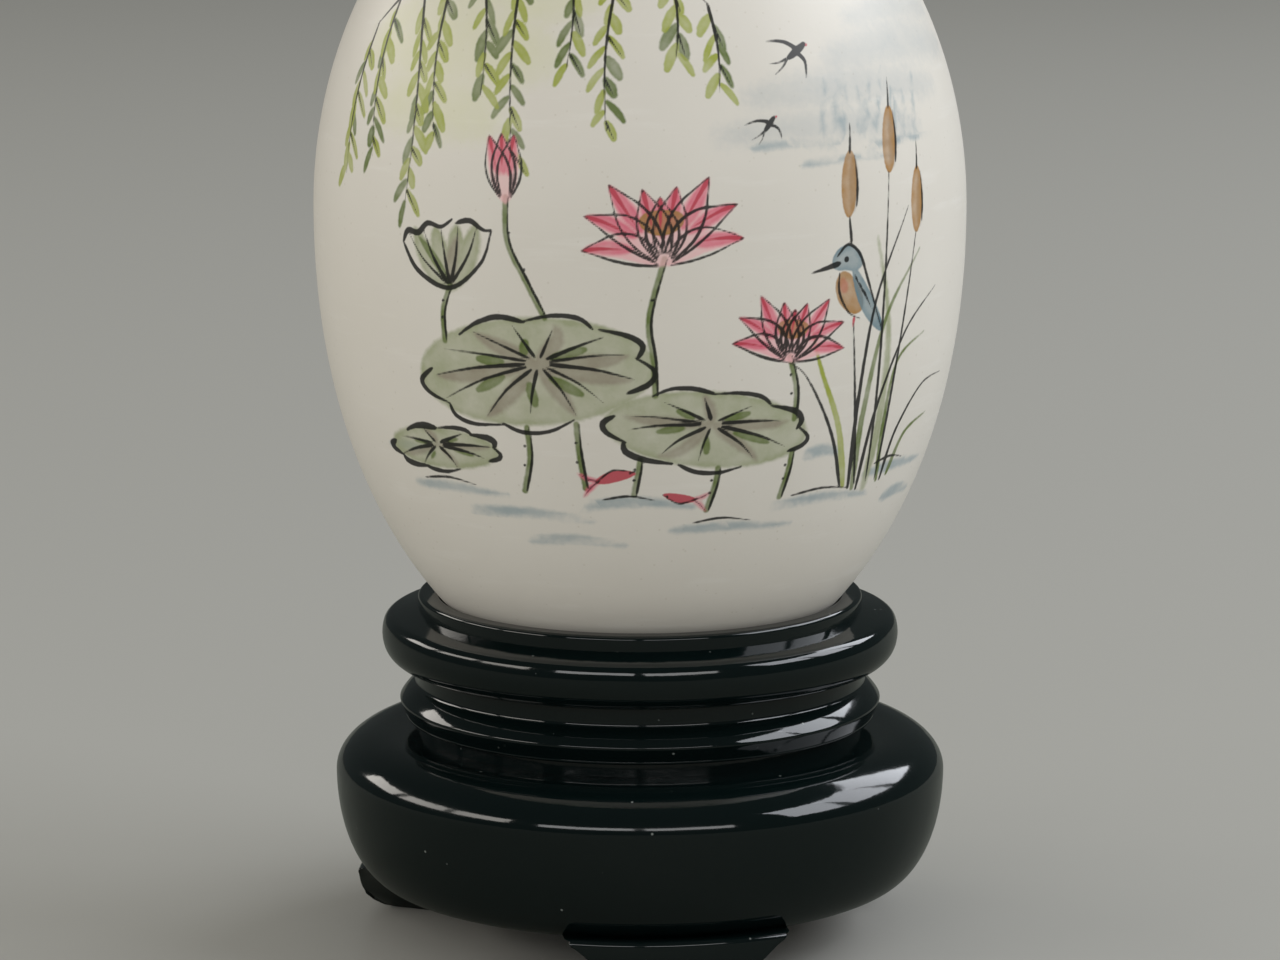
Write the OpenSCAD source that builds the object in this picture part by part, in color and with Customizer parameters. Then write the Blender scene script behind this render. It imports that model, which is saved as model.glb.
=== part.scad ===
// Painted egg on a turned, black-lacquered stand with three feet.
// Origin: on the axis at the table. +Z is up, and -Y is the side that faces the viewer.

/* [Egg] */
// Greatest width of the egg
egg_w = 45; // [41:0.5:50]
// Height of the blunt end above the widest ring
egg_top_h = 28; // [25:0.5:34]
// Depth of the pointed end below the widest ring
egg_low_h = 34.2; // [31:0.2:38]
// Thickness of the blown shell
shell_t = 0.45; // [0.3:0.05:0.6]
// Width of the drain hole at the pointed end
drain_d = 4; // [3:0.5:5]
// Length of the filler that closes the drain hole
plug_h = 1.5; // [1:0.1:2.5]
// How far the filler stands out of the drain hole
plug_proud = 0.15; // [0:0.05:0.3]

/* [Seat collar] */
// Gap between the egg and its seat
seat_gap = 0.1; // [0.05:0.05:0.3]
// Width of the sloped seat, measured along the radius
seat_w = 1; // [0.6:0.1:1.6]
// Rounding of the lip round the egg
lip_r = 0.3; // [0.2:0.02:0.5]
// Width of the flat on top of the lip
lip_flat = 0.84; // [0.5:0.02:1.1]
// Height of the lip's centre above the foot of the collar
lip_rise = 5.66; // [5.6:0.02:7]
// Distance from the lip's centre out to the bead's widest line
bead_out = 3.66; // [3.4:0.02:4.2]
// Height of the bead's widest line above the foot of the collar
bead_rise = 3.2; // [3:0.02:3.3]
// Curve of the bead's side
bead_side_r = 2.6; // [2.2:0.1:3]
// Rounding of the bead's upper edge
bead_top_r = 0.8; // [0.6:0.05:1]
// Rounding of the bead's lower edge
bead_low_r = 1.8; // [1.5:0.05:2]
// Wall of the collar at its foot
collar_wall = 2.6; // [2.2:0.05:2.9]

/* [Waist ring] */
// Height of the ring that shows
waist_h = 3.7; // [3.4:0.05:5]
// How far the ring's widest line stands out from the collar's foot
waist_out = 1.15; // [1:0.05:1.5]
// Rounding of the hollow where the ring meets the collar
waist_cove_r = 0.4; // [0.2:0.05:0.5]
// Rounding of the ring's widest line
waist_edge_r = 0.25; // [0.15:0.05:0.35]
// How far the step under the widest line is set back from it
step_in = 0.4; // [0.3:0.05:0.6]
// Depth of the step below the widest line
step_drop = 1.05; // [0.8:0.05:1.2]
// Rounding of the step's edge
step_edge_r = 0.15; // [0.1:0.05:0.2]
// How far the neck under the step is set back from the step
neck_in = 0.9; // [0.5:0.05:1.1]
// How far the foot of the neck is undercut
neck_undercut = 0.25; // [0.1:0.05:0.4]
// Wall of the tenon that enters the collar
waist_tenon_wall = 2.5; // [2:0.1:3.2]
// Height of the tenon that enters the collar
waist_tenon_h = 2; // [1.5:0.1:2.4]

/* [Base drum] */
// Width of the ledge from the neck of the waist ring to the widest line of the drum
drum_ledge = 5.8; // [5:0.05:8]
// Height from the flat underside to the widest line
belly_h = 7.8; // [6:0.05:10]
// Height from the widest line to the flat top
shoulder_h = 2.8; // [2:0.05:4]
// How far the drum's shoulder and side turn in from the widest line
turn_in = 3.9; // [3.2:0.05:4.4]
// Height of the tenon that enters the waist ring
drum_tenon_h = 1.5; // [1.2:0.1:1.8]
// Depth of the turned recess in the underside
recess_h = 1.2; // [0.6:0.1:2.5]
// Width of the flat ring round the recess
recess_rim = 6; // [5.4:0.1:7]

/* [Feet] */
// Height of the drum's underside above the table
foot_h = 3.6; // [2.8:0.05:5]
// How far the top of a foot laps up over the drum's rounded edge
foot_lap = 0.3; // [0.15:0.05:0.6]
// How far the outer face of a foot stays inside the drum's widest line
foot_set_in = 1.4; // [1:0.05:2.2]
// Length of a foot along the radius
foot_l = 8; // [7.4:0.1:8.6]
// Width of a foot at its top
foot_w = 15.4; // [12:0.2:17]
// Width of a foot on the table
foot_floor_w = 6.4; // [5:0.2:9]
// Rounding of a foot's lower outer edge
foot_edge_r = 2.2; // [1.2:0.1:2.4]
// Rounding of a foot's upper lip
foot_lip_r = 0.4; // [0.2:0.05:0.6]
// Turn of the front foot from the viewer's side towards +X, in degrees
foot_turn = 8; // [-30:1:30]

/* [Dowels] */
// Thickness of the dowel that holds a foot
dowel_d = 2.6; // [2:0.1:3]
// Depth of the dowel in the foot
dowel_in_foot = 2; // [1.4:0.1:2.4]
// Depth of the dowel in the drum
dowel_in_drum = 3.2; // [2.4:0.1:5]
// Distance from the edge of the flat underside in to the dowel
dowel_set_in = 3; // [2.4:0.1:3.6]

/* [Fits] */
// Glue gap round each tenon and dowel
glue_gap = 0.05; // [0.02:0.01:0.08]

/* [Hidden] */

$fn = 96;
arc_steps = 10;
egg_steps = 30;
overrun = 1;

ivory = [0.93, 0.90, 0.83];
filler_white = [0.90, 0.88, 0.84];
lacquer = [0.05, 0.08, 0.08];
bare_wood = [0.72, 0.56, 0.38];

// Fullness of the egg's pointed end: at 2 it is half an ellipse.
low_power = 2.14;
// Part of the pointed end's depth at which the egg rests on its seat.
seat_share = 0.793;

// Angles of the turned faces, in degrees.
bead_lean = 18;
bead_slope = 12;
underside_slope = 80;
waist_slope_low = 32;
waist_slope_high = 54;
step_lean = 20;

foot_count = 3;
foot_step = 360 / foot_count;

// The seat: where the egg touches it, and the way the egg's surface faces there.
egg_r = egg_w / 2;
seat_drop = egg_low_h * seat_share;
seat_r = egg_r * sqrt(1 - pow(seat_share, low_power));
seat_slope = pow(egg_r, 2) * low_power * pow(seat_share, low_power) / seat_drop / (2 * seat_r);
seat_tilt = atan(seat_slope);
seat_normal = [cos(seat_tilt), -sin(seat_tilt)];

// Radii, from the seat outwards.
lip_at_r = seat_r + seat_normal.x * (seat_gap + lip_r);
bead_at_r = lip_at_r + bead_out;
bore_r = seat_r - seat_w;
waist_r = bore_r + collar_wall;
waist_bore_r = bore_r - waist_tenon_wall;
widest_r = waist_r + waist_out;
face_r = (waist_out - waist_edge_r * (1 - cos(waist_slope_low)) - waist_cove_r * (1 - cos(waist_slope_high)))
    / (cos(waist_slope_low) - cos(waist_slope_high));
step_r = widest_r - step_in;
neck_r = step_r - neck_in;
drum_r = neck_r + drum_ledge;
flat_r = drum_r - turn_in;
recess_r = flat_r - recess_rim;
foot_r = drum_r - foot_set_in;
dowel_at_r = flat_r - dowel_set_in;

// Heights, from the table up.
belly_z = foot_h + belly_h;
drum_top_z = belly_z + shoulder_h;
collar_z = drum_top_z + waist_h;
widest_z = collar_z - waist_edge_r * sin(waist_slope_low) - waist_cove_r * sin(waist_slope_high)
    - face_r * (sin(waist_slope_high) - sin(waist_slope_low));
lip_z = collar_z + lip_rise;
bead_z = collar_z + bead_rise;
seat_z = lip_z - seat_normal.y * (seat_gap + lip_r);
egg_z = seat_z + seat_drop;
tip_z = egg_z - egg_low_h;

function arc(centre, rx, ry, from, to, steps = arc_steps) =
    [for (i = [0 : steps])
        let (a = from + (to - from) * i / steps)
        centre + [rx * cos(a), ry * sin(a)]];

// The egg's outline from the blunt end down to the pointed end.
function egg_outline(wide, top, low) = concat(
    [for (i = [0 : egg_steps])
        let (a = 90 - 90 * i / egg_steps)
        [wide * cos(a), egg_z + top * sin(a)]],
    [for (i = [1 : egg_steps])
        let (a = 90 * i / egg_steps)
        [wide * cos(a), egg_z - low * pow(sin(a), 2 / low_power)]]);

module turned(outline) {
    rotate_extrude()
        polygon(outline);
}

// Body of the egg, smaller by inset on every side.
module egg_body(inset) {
    turned(egg_outline(egg_r - inset, egg_top_h - inset, egg_low_h - inset));
}

module eggshell() {
    color(ivory)
        difference() {
            egg_body(0);
            egg_body(shell_t);
            translate([0, 0, tip_z - overrun])
                cylinder(d = drain_d, h = overrun + shell_t + overrun);
        }
}

// Filler pressed into the drain hole from below.
module drain_plug() {
    color(filler_white)
        translate([0, 0, tip_z - plug_proud])
            cylinder(r = drain_d / 2 - glue_gap, h = plug_h);
}

// Ring with a rounded lip and a full bead. The egg rests on the slope inside the lip.
module seat_collar() {
    seat_top = [lip_at_r, lip_z] - lip_r * seat_normal;
    seat_foot_z = seat_top.y - (seat_top.x - bore_r) / seat_slope;
    side_at = [bead_at_r - bead_side_r, bead_z];
    top_at = side_at + (bead_side_r - bead_top_r) * [cos(bead_lean), sin(bead_lean)];
    low_at = side_at + (bead_side_r - bead_low_r) * [cos(bead_lean), -sin(bead_lean)];
    underside_z = low_at.y - bead_low_r * sin(underside_slope)
        - (low_at.x + bead_low_r * cos(underside_slope) - waist_r) / tan(underside_slope);
    corner_r = lip_at_r + lip_flat + lip_r;
    corner_z = top_at.y + (top_at.x - corner_r) * tan(bead_slope) + bead_top_r / cos(bead_slope);
    color(lacquer)
        turned(concat(
            [[bore_r, collar_z], [bore_r, seat_foot_z]],
            arc([lip_at_r, lip_z], lip_r, lip_r, 180 - seat_tilt, 90),
            arc([lip_at_r + lip_flat, lip_z], lip_r, lip_r, 90, 0),
            [[corner_r, corner_z]],
            arc(top_at, bead_top_r, bead_top_r, 90 - bead_slope, bead_lean),
            arc(side_at, bead_side_r, bead_side_r, bead_lean, -bead_lean),
            arc(low_at, bead_low_r, bead_low_r, -bead_lean, -underside_slope),
            [[waist_r, underside_z], [waist_r, collar_z]]));
}

// Ring between the collar and the drum: a bowed face, a fine step and a neck, with a tenon on top.
module waist_ring() {
    step_z = widest_z - step_drop;
    edge_at = [widest_r - waist_edge_r, widest_z];
    face_at = edge_at - (face_r - waist_edge_r) * [cos(waist_slope_low), sin(waist_slope_low)];
    color(lacquer)
        turned(concat(
            [[waist_bore_r, drum_top_z], [neck_r - neck_undercut, drum_top_z],
             [neck_r, step_z - step_edge_r]],
            arc([step_r - step_edge_r, step_z], step_edge_r, step_edge_r, -90, step_lean),
            arc(edge_at, waist_edge_r, waist_edge_r, -step_lean, waist_slope_low),
            arc(face_at, face_r, face_r, waist_slope_low, waist_slope_high),
            arc([waist_r + waist_cove_r, collar_z], waist_cove_r, waist_cove_r, 180 + waist_slope_high, 180),
            [[bore_r - glue_gap, collar_z],
             [bore_r - glue_gap, collar_z + waist_tenon_h],
             [waist_bore_r, collar_z + waist_tenon_h]]));
}

// Solid that the drum and the feet share: the drum's outer form on a flat underside.
module drum_form() {
    turned(concat(
        [[0, foot_h]],
        arc([flat_r, belly_z], turn_in, belly_h, -90, 0, 2 * arc_steps),
        arc([flat_r, belly_z], turn_in, shoulder_h, 0, 90),
        [[0, drum_top_z]]));
}

// Squat drum with a tenon for the waist ring, a recess underneath and a hole for each dowel.
module base_drum() {
    color(lacquer)
        difference() {
            union() {
                drum_form();
                translate([0, 0, belly_z])
                    cylinder(r = waist_bore_r - glue_gap, h = drum_top_z + drum_tenon_h - belly_z);
            }
            translate([0, 0, foot_h - overrun])
                cylinder(r = recess_r, h = overrun + recess_h);
            at_each_foot()
                translate([0, 0, -overrun])
                    cylinder(d = dowel_d + 2 * glue_gap, h = overrun + dowel_in_drum + glue_gap);
        }
}

// Puts its child on a dowel's axis, at the height of the drum's underside, for foot i.
module at_foot(i) {
    rotate([0, 0, foot_turn - 90 - i * foot_step])
        translate([dowel_at_r, 0, foot_h])
            children();
}

module at_each_foot() {
    for (i = [0 : foot_count - 1])
        at_foot(i)
            children();
}

// Foot i, counted clockwise from the front: a tapered pad that laps up over the drum's edge.
module foot(i) {
    foot_top = foot_h + foot_lap;
    color(lacquer)
        difference() {
            intersection() {
                turned(concat(
                    [[foot_r - foot_l, 0]],
                    arc([foot_r - foot_edge_r, foot_edge_r], foot_edge_r, foot_edge_r, -90, 0),
                    arc([foot_r - foot_lip_r, foot_top - foot_lip_r], foot_lip_r, foot_lip_r, 0, 90),
                    [[foot_r - foot_l, foot_top]]));
                rotate([0, 0, foot_turn - 90 - i * foot_step])
                    rotate([90, 0, 90])
                        linear_extrude(foot_r + overrun)
                            polygon([[-foot_floor_w / 2, 0], [foot_floor_w / 2, 0],
                                     [foot_w / 2, foot_top], [-foot_w / 2, foot_top]]);
            }
            drum_form();
            at_foot(i)
                translate([0, 0, -dowel_in_foot - glue_gap])
                    cylinder(d = dowel_d + 2 * glue_gap, h = dowel_in_foot + glue_gap + overrun);
        }
}

module foot_front() {
    foot(0);
}

module foot_left() {
    foot(1);
}

module foot_rear() {
    foot(2);
}

// Dowels that join the feet to the drum, half in each.
module foot_dowels() {
    color(bare_wood)
        at_each_foot()
            translate([0, 0, -dowel_in_foot])
                cylinder(d = dowel_d, h = dowel_in_foot + dowel_in_drum);
}

eggshell();
drain_plug();
seat_collar();
waist_ring();
base_drum();
foot_front();
foot_left();
foot_rear();
foot_dowels();
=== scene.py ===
"""Painted egg on a turned, black-lacquered stand with three feet.

The eggshell, the three turned rings of the stand and the feet are modelled here at the sizes of
the CAD nodes that they replace. The filler in the shell's drain hole and the dowels of the feet
keep their CAD shapes and get their materials here. Sizes are in millimetres until they reach a mesh.
"""

import logging
import math
import random
from collections.abc import Sequence
from dataclasses import dataclass, field
from enum import Enum
from typing import Any

import bpy
import numpy as np
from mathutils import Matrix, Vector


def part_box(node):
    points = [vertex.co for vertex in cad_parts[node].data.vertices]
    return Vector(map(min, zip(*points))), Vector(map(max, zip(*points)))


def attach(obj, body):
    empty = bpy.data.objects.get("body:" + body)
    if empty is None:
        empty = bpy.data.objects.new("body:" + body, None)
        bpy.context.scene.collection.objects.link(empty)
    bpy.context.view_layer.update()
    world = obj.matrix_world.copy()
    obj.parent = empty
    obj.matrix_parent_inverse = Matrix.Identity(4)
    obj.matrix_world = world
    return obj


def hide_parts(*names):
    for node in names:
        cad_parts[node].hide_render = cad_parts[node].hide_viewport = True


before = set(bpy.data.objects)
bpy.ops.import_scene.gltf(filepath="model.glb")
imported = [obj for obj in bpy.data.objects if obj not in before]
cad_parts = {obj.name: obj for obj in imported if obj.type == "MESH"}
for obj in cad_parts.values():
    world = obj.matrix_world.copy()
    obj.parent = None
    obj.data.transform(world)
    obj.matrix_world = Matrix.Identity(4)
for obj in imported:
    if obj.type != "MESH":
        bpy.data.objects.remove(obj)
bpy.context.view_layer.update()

log = logging.getLogger("painted_egg")

MM = 0.001
# Points closer than this many millimetres are merged.
MERGE = 0.0005
# Stands in for a squared length of zero under a fraction line.
TINY = 1e-12
# Distance, in millimetres, that stands for any place well outside a stroke.
FAR_OUTSIDE = -1.4

Point = tuple[float, float]
Outline = list[Point]
Socket = bpy.types.NodeSocket
Piece = bpy.types.Object


def linear(hex_colour: str) -> tuple[float, float, float, float]:
    """Turns an sRGB hex value into linear colour.

    Args:
        hex_colour: Six hex digits after a hash sign.

    Returns:
        Red, green, blue and an alpha of one.
    """
    parts = [int(hex_colour[i : i + 2], 16) / 255 for i in (1, 3, 5)]
    red, green, blue = (p / 12.92 if p <= 0.04045 else ((p + 0.055) / 1.055) ** 2.4 for p in parts)
    return red, green, blue, 1.0


def per_metre(feature_mm: float) -> float:
    """Texture scale at which a pattern on Object coordinates repeats about once in feature_mm."""
    return 1 / (feature_mm * MM)


def add_node(tree: bpy.types.NodeTree, kind: str, inputs: dict[Any, Any], **settings: Any) -> bpy.types.Node:
    """Adds a shader node with its settings and links.

    Args:
        tree: Node tree that takes the node.
        kind: Type name of the node.
        inputs: For each input, by name or number, the socket that feeds it or its plain value.
        **settings: Properties of the node.

    Returns:
        The new node.
    """
    node = tree.nodes.new(kind)
    for key, value in settings.items():
        setattr(node, key, value)
    for key, value in inputs.items():
        if isinstance(value, Socket):
            tree.links.new(value, node.inputs[key])
        else:
            node.inputs[key].default_value = value
    return node


@dataclass(frozen=True)
class NodeBoard:
    """A node tree, with the nodes that the finishes share."""

    tree: bpy.types.NodeTree

    def place(self) -> Socket:
        """Object coordinates."""
        return add_node(self.tree, "ShaderNodeTexCoord", {}).outputs["Object"]

    def in_gloss(self) -> Socket:
        """One where a surface is seen mirrored in another, and zero elsewhere."""
        return add_node(self.tree, "ShaderNodeLightPath", {}).outputs["Is Glossy Ray"]

    def drawn_out(self, place: Socket, scale: float) -> Socket:
        """Coordinates whose Z is scaled, which draws a pattern out along Z or across it."""
        inputs = {"Vector": place, "Scale": (1.0, 1.0, scale)}
        return add_node(self.tree, "ShaderNodeMapping", inputs).outputs["Vector"]

    def cells(self, place: Socket, size_mm: float) -> bpy.types.Node:
        """Cells round scattered points, of a real size."""
        return add_node(self.tree, "ShaderNodeTexVoronoi", {"Vector": place, "Scale": per_metre(size_mm)})

    def noise(self, place: Socket, size_mm: float, detail: float, roughness: float = 0.5) -> Socket:
        """Noise with features of a real size.

        Args:
            place: Coordinates.
            size_mm: Size of the features.
            detail: Number of finer layers.
            roughness: Strength of the finer layers.

        Returns:
            The noise.
        """
        inputs = {"Vector": place, "Scale": per_metre(size_mm), "Detail": detail, "Roughness": roughness}
        return add_node(self.tree, "ShaderNodeTexNoise", inputs).outputs["Fac"]

    def fit(self, value: Socket, source: Point, target: Point, curve: str = "LINEAR") -> Socket:
        """Maps a value from one range to another and holds it at the ends.

        Args:
            value: The value.
            source: Ends of its range.
            target: What the ends become.
            curve: Course between the ends.

        Returns:
            The new value.
        """
        ends = zip(("From Min", "From Max", "To Min", "To Max"), (*source, *target))
        inputs = {"Value": value, **dict(ends)}
        return add_node(self.tree, "ShaderNodeMapRange", inputs, interpolation_type=curve).outputs["Result"]

    def reckon(self, operation: str, *values: Any, clamp: bool = False) -> Socket:
        """Reckons with two or three values."""
        settings = {"operation": operation, "use_clamp": clamp}
        return add_node(self.tree, "ShaderNodeMath", dict(enumerate(values)), **settings).outputs["Value"]

    def blend(self, amount: Socket, under: Socket | str, over: Socket | str) -> Socket:
        """Lays one colour over another.

        Args:
            amount: How much the upper one covers.
            under: Lower colour, as a socket or in hex.
            over: Upper colour, likewise.

        Returns:
            The blended colour.
        """
        inputs: dict[str, Any] = {"Factor": amount}
        for key, colour in (("A", under), ("B", over)):
            inputs[key] = linear(colour) if isinstance(colour, str) else colour
        return add_node(self.tree, "ShaderNodeMix", inputs, data_type="RGBA").outputs["Result"]

    def relief(self, height: Socket, depth_mm: float, strength: float = 1.0, **below: Socket) -> Socket:
        """Fine relief of a real depth, over the relief below it if one is given as Normal."""
        inputs = {"Height": height, "Distance": depth_mm * MM, "Strength": strength, **below}
        return add_node(self.tree, "ShaderNodeBump", inputs).outputs["Normal"]


@dataclass(frozen=True)
class Finish:
    """A surface finish, of which each kind has its own name and its own surface."""

    name: str = "bare"

    def surface(self, board: NodeBoard) -> dict[str, Any]:
        """Inputs of the finish's shader."""
        raise NotImplementedError

    def make(self) -> bpy.types.Material:
        """Makes the material.

        Returns:
            The material.
        """
        material = bpy.data.materials.new(self.name)
        material.use_nodes = True
        tree = material.node_tree
        tree.nodes.clear()
        shader = add_node(tree, "ShaderNodeBsdfPrincipled", self.surface(NodeBoard(tree)))
        add_node(tree, "ShaderNodeOutputMaterial", {"Surface": shader.outputs["BSDF"]})
        return material


def dress(piece: Piece, material: bpy.types.Material) -> None:
    """Gives a piece one material in place of what it had."""
    piece.data.materials.clear()
    piece.data.materials.append(material)


def arc(centre: Point, across: float, up: float, start: float, end: float, steps: int = 14) -> Outline:
    """Points on an elliptical arc.

    Args:
        centre: Centre of the arc, as radius and height.
        across: Half width of the ellipse.
        up: Half height of the ellipse.
        start: First angle, in degrees.
        end: Last angle, in degrees.
        steps: Number of straight parts.

    Returns:
        The points in order, with both ends.
    """
    angles = (math.radians(start + (end - start) * i / steps) for i in range(steps + 1))
    return [(centre[0] + across * math.cos(a), centre[1] + up * math.sin(a)) for a in angles]


def with_supports(outline: Outline, reach: float = 0.12) -> Outline:
    """Adds a point near each end of every long straight part, so that smooth shading stays at the curves.

    Args:
        outline: Closed outline.
        reach: Distance of an added point from its corner.

    Returns:
        The outline with the added points.
    """
    result: Outline = []
    for here, there in zip(outline, outline[1:] + outline[:1]):
        length = math.dist(here, there)
        result.append(here)
        if length > 4 * reach:
            for part in (reach / length, 1 - reach / length):
                result.append(tuple(a + (b - a) * part for a, b in zip(here, there)))
    return result


def start_outline(name: str, outline: Outline, angle: float = 0.0) -> Piece:
    """Adds a circle primitive and lays its points on an outline in an upright plane through the axis.

    Args:
        name: Name of the piece.
        outline: Radius and height of each point.
        angle: Azimuth of the plane from +X, in radians.

    Returns:
        The object, in edit mode with all selected.
    """
    bpy.ops.object.select_all(action="DESELECT")
    bpy.ops.mesh.primitive_circle_add(vertices=len(outline), radius=MM)
    piece = bpy.context.object
    piece.name = name
    piece.data.name = name
    for vertex, (radius, height) in zip(piece.data.vertices, outline):
        vertex.co = (radius * math.cos(angle) * MM, radius * math.sin(angle) * MM, height * MM)
    bpy.ops.object.mode_set(mode="EDIT")
    bpy.ops.mesh.select_all(action="SELECT")
    return piece


def spin(angle: float, steps: int) -> None:
    """Spins the selected edges counterclockwise about the axis, by an angle in radians."""
    # The operator counts its angle clockwise.
    bpy.ops.mesh.spin(steps=steps, angle=-angle, center=(0, 0, 0), axis=(0, 0, 1))


def close_mesh(sharp: float = 30.0) -> None:
    """Merges the seam and the poles, turns the faces outwards, leaves edit mode and shades smooth.

    Args:
        sharp: Angle in degrees above which an edge stays sharp.
    """
    bpy.ops.mesh.select_all(action="SELECT")
    bpy.ops.mesh.remove_doubles(threshold=MERGE * MM)
    bpy.ops.mesh.normals_make_consistent(inside=False)
    bpy.ops.object.mode_set(mode="OBJECT")
    bpy.ops.object.shade_smooth_by_angle(angle=math.radians(sharp))


def turn_ring(name: str, outline: Outline, steps: int = 240) -> Piece:
    """Turns a closed outline about the axis, as on a lathe.

    Args:
        name: Name of the piece.
        outline: Closed outline, as radius and height.
        steps: Steps round the axis.

    Returns:
        The ring.
    """
    piece = start_outline(name, with_supports(outline))
    spin(math.tau, steps)
    close_mesh()
    return piece


def cut_away(piece: Piece, cutters: list[Piece]) -> None:
    """Cuts other solids out of a piece and removes them.

    Args:
        piece: Solid that is cut.
        cutters: Solids that are cut out of it.
    """
    for cutter in cutters:
        bpy.context.view_layer.objects.active = piece
        modifier = piece.modifiers.new("cut", "BOOLEAN")
        modifier.operation = "DIFFERENCE"
        modifier.solver = "EXACT"
        modifier.object = cutter
        bpy.ops.object.modifier_apply(modifier=modifier.name)
        bpy.data.objects.remove(cutter, do_unlink=True)


def report(piece: Piece) -> None:
    """Reports a piece and its number of faces."""
    log.info("%s: %d faces", piece.name, len(piece.data.polygons))


@dataclass(frozen=True)
class Tint:
    """How a pigment looks on the shell: its colour, how much it covers, and its edges in millimetres."""

    colour: str
    cover: float
    edge: float
    ragged: float
    sheer: bool = True


class Pigment(Enum):
    """Pigments of the painting, in the order in which they are laid."""

    MIST = Tint("#9CA9B0", 0.42, 1.1, 0.5)
    SPRING = Tint("#CBD08A", 0.34, 1.2, 0.5)
    WATER = Tint("#7F98A2", 0.6, 0.25, 0.12)
    LEAF = Tint("#A3A888", 0.95, 0.2, 0.12)
    SHADE = Tint("#94897A", 0.75, 0.22, 0.1)
    MOSS = Tint("#66763C", 0.88, 0.09, 0.05)
    SAP = Tint("#9FA848", 0.88, 0.08, 0.05)
    BLUSH = Tint("#EDB4B8", 0.85, 0.14, 0.06)
    ROSE = Tint("#DC6A80", 0.85, 0.16, 0.06)
    OCHRE = Tint("#A87C42", 0.9, 0.07, 0.04)
    SLATE = Tint("#66838E", 0.9, 0.07, 0.04)
    CRIMSON = Tint("#BF3C4E", 0.92, 0.06, 0.03, False)
    INK = Tint("#1B1B1A", 0.95, 0.05, 0.035, False)

    @property
    def layer(self) -> str:
        """Name of the mesh attribute that holds the distance inside the pigment's strokes."""
        return f"{self.name.lower()}_strokes"

    @property
    def crisp(self) -> bool:
        """Whether the strokes' edges are fine enough to need a fine mesh."""
        return self.value.edge < 0.24


class Brush(Enum):
    """How a stroke's width runs from its start to its end."""

    LINE = "line"
    TAPER = "taper"
    DAB = "dab"
    PETAL = "petal"
    EVEN = "even"

    def profile(self, along: np.ndarray) -> np.ndarray:
        """Width of the stroke along its length, as part of its full width.

        Args:
            along: Places along the stroke, from 0 to 1.

        Returns:
            The widths at these places.
        """
        if self is Brush.LINE:
            return 0.4 + 0.6 * np.sin(np.pi * along**0.6)
        if self is Brush.TAPER:
            return 0.12 + 0.88 * np.minimum(1, 5 * along + 0.5) * (1 - along) ** 0.7
        if self is Brush.DAB:
            return np.sqrt(np.maximum(0, 1 - (2 * along - 1) ** 2))
        if self is Brush.PETAL:
            return 1.75 * (along + 0.03) ** 0.6 * (1 - along) ** 0.75
        return np.ones_like(along)


@dataclass(frozen=True)
class Stroke:
    """One stroke of the brush, in millimetres: arc length from the front line, and height."""

    pigment: Pigment
    brush: Brush
    width: float
    path: Sequence[Point]

    def trace(self, spacing: float = 0.3) -> tuple[np.ndarray, np.ndarray]:
        """Follows the stroke on a smooth curve through its points.

        Args:
            spacing: Rough distance between the points that come back.

        Returns:
            The points, and the half width at each.
        """
        knots = np.array([self.path[0], *self.path, self.path[-1]], float)
        parts = []
        for a, b, c, d in zip(knots, knots[1:], knots[2:], knots[3:]):
            count = max(2, math.ceil(float(np.hypot(*(c - b))) / spacing))
            t = np.linspace(0, 1, count, endpoint=False)[:, None]
            curve = 2 * b + (c - a) * t + (2 * a - 5 * b + 4 * c - d) * t**2 + (3 * b - a - 3 * c + d) * t**3
            parts.append(curve / 2)
        line = np.concatenate([*parts, knots[-1:]])
        length = np.concatenate([[0], np.cumsum(np.hypot(*np.diff(line, axis=0).T))])
        return line, self.width / 2 * self.brush.profile(length / length[-1])


def turned(points: Sequence[Point], centre: Point, degrees: float, scale: float = 1.0) -> list[Point]:
    """Turns points about the origin, scales them and moves them to a centre.

    Args:
        points: The points.
        centre: Where the origin goes.
        degrees: Angle, counterclockwise.
        scale: Size factor.

    Returns:
        The new points.
    """
    c, s = math.cos(math.radians(degrees)) * scale, math.sin(math.radians(degrees)) * scale
    return [(centre[0] + c * x - s * y, centre[1] + s * x + c * y) for x, y in points]


MIST, SPRING, WATER, LEAF, SHADE, MOSS, SAP, BLUSH, ROSE, OCHRE, SLATE, CRIMSON, INK = Pigment
LINE, TAPER, DAB, PETAL, EVEN = Brush


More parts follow.
